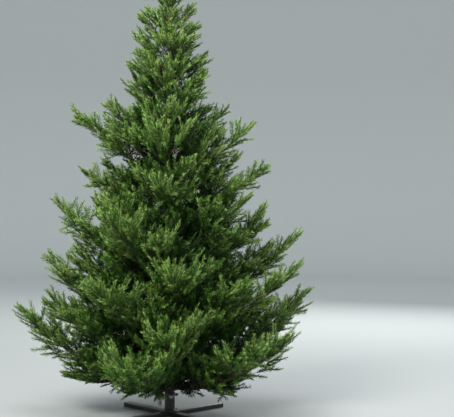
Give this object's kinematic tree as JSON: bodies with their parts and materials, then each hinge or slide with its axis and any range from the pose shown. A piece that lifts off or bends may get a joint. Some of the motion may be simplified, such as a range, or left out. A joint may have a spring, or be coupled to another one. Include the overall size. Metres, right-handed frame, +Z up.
{
  "type": "christmas tree",
  "caption": "Undecorated artificial Christmas tree: whorls of upswept boughs with flat sprays of green needles on a straight brown pole, standing on a crossed steel foot.",
  "frame": {"origin": "on the floor, on the pole's axis, in the middle of the cross foot's underside", "axes": "+Z up along the pole, -Y towards the front of the tree as pictured, +X to its right"},
  "size_m": [1.3697, 1.4786, 2.1],
  "materials": {
    "needles": "matte",
    "bark": "matte",
    "steel": "satin"
  },
  "bodies": {
    "root": {"stand_bar_lower": "steel", "stand_bar_upper": "steel", "stand_socket": "steel", "trunk": "bark", "bough_w1_1": "bark", "bough_w1_2": "bark", "bough_w1_3": "bark", "bough_w1_4": "bark", "bough_w1_5": "bark", "bough_w2_1": "bark", "bough_w2_2": "bark", "bough_w2_3": "bark", "bough_w2_4": "bark", "foliage_w1_1": "needles", "foliage_w1_2": "needles", "foliage_w1_3": "needles", "foliage_w1_4": "needles", "foliage_w1_5": "needles", "foliage_w2_1": "needles", "foliage_w2_2": "needles", "foliage_w2_3": "needles", "foliage_w2_4": "needles", "foliage_w3_1": "needles", "foliage_w3_2": "needles", "foliage_w3_3": "needles", "foliage_w3_4": "needles", "foliage_w4_1": "needles", "foliage_w4_2": "needles", "foliage_w4_3": "needles", "foliage_w4_4": "needles", "foliage_w5_1": "needles", "foliage_w5_2": "needles", "foliage_w5_3": "needles", "foliage_w5_4": "needles", "foliage_w6_1": "needles", "foliage_w6_2": "needles", "foliage_w6_3": "needles", "foliage_w6_4": "needles", "foliage_w7_1": "needles", "foliage_w7_2": "needles", "foliage_w7_3": "needles", "foliage_w7_4": "needles", "foliage_w8_1": "needles", "foliage_w8_2": "needles", "foliage_w8_3": "needles", "foliage_w8_4": "needles", "foliage_w9_1": "needles", "foliage_w9_2": "needles", "foliage_w9_3": "needles", "foliage_w10_1": "needles", "foliage_w10_2": "needles", "foliage_w10_3": "needles", "foliage_w11_1": "needles", "foliage_w11_2": "needles", "foliage_w11_3": "needles", "foliage_w12_1": "needles", "foliage_w12_2": "needles", "foliage_w12_3": "needles", "foliage_leader": "needles"}
  },
  "joints": []
}
